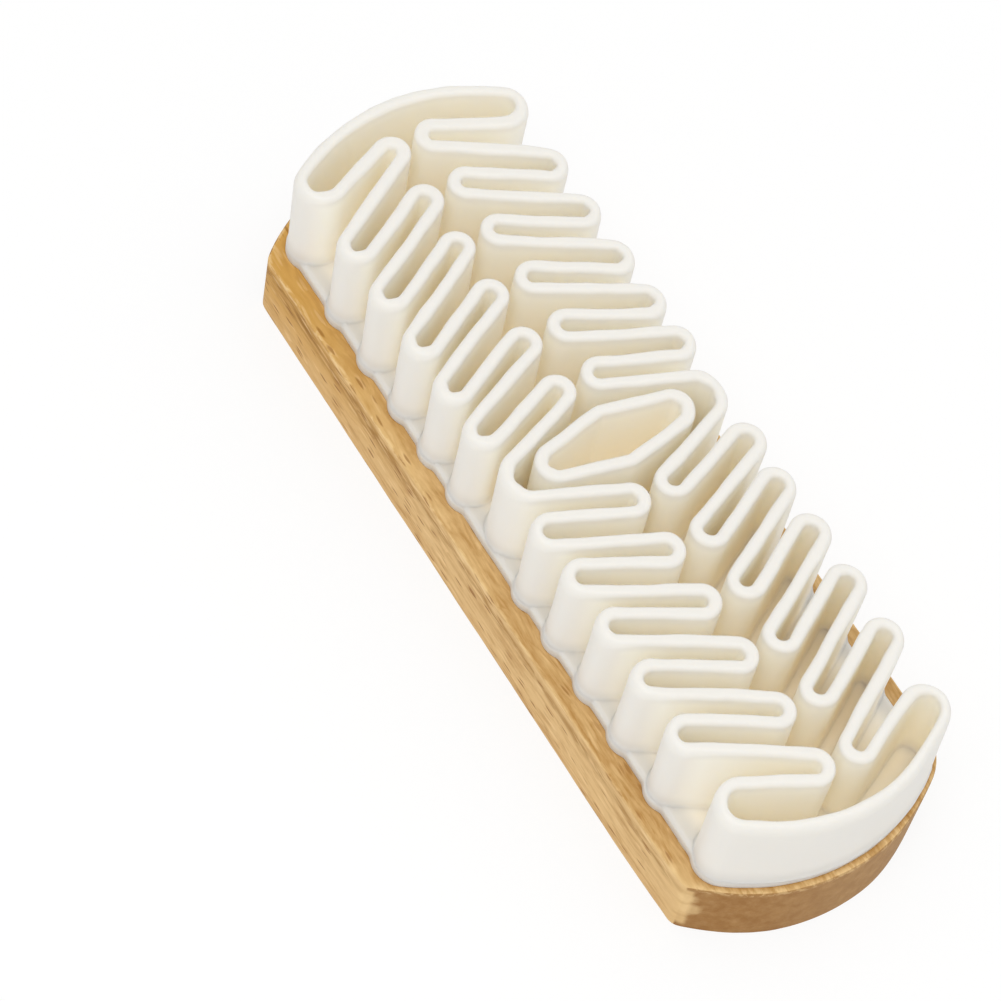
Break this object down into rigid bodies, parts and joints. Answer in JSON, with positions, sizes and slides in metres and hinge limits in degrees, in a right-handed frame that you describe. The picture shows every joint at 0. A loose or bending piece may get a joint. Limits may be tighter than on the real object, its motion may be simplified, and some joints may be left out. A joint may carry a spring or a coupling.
{
  "type": "suede brush",
  "caption": "Block suede brush: a flat beech block with a pad of upright winding natural crepe walls for lifting the nap of suede and nubuck.",
  "frame": {"origin": "middle of the flat wooden back, on its outer face", "axes": "+X along the length, +Y across the width, +Z out of the block towards the crepe"},
  "size_m": [0.15, 0.05, 0.0345],
  "materials": {
    "beech": "sanded beech with a thin clear oil finish",
    "glue": "dried contact glue",
    "crepe": "smooth ivory crepe rubber, matte"
  },
  "bodies": {
    "root": {"handle_block": "beech", "glue_film": "glue", "crepe_base": "crepe", "crepe_ribbon": "crepe", "crepe_centre_ring": "crepe"}
  },
  "joints": []
}
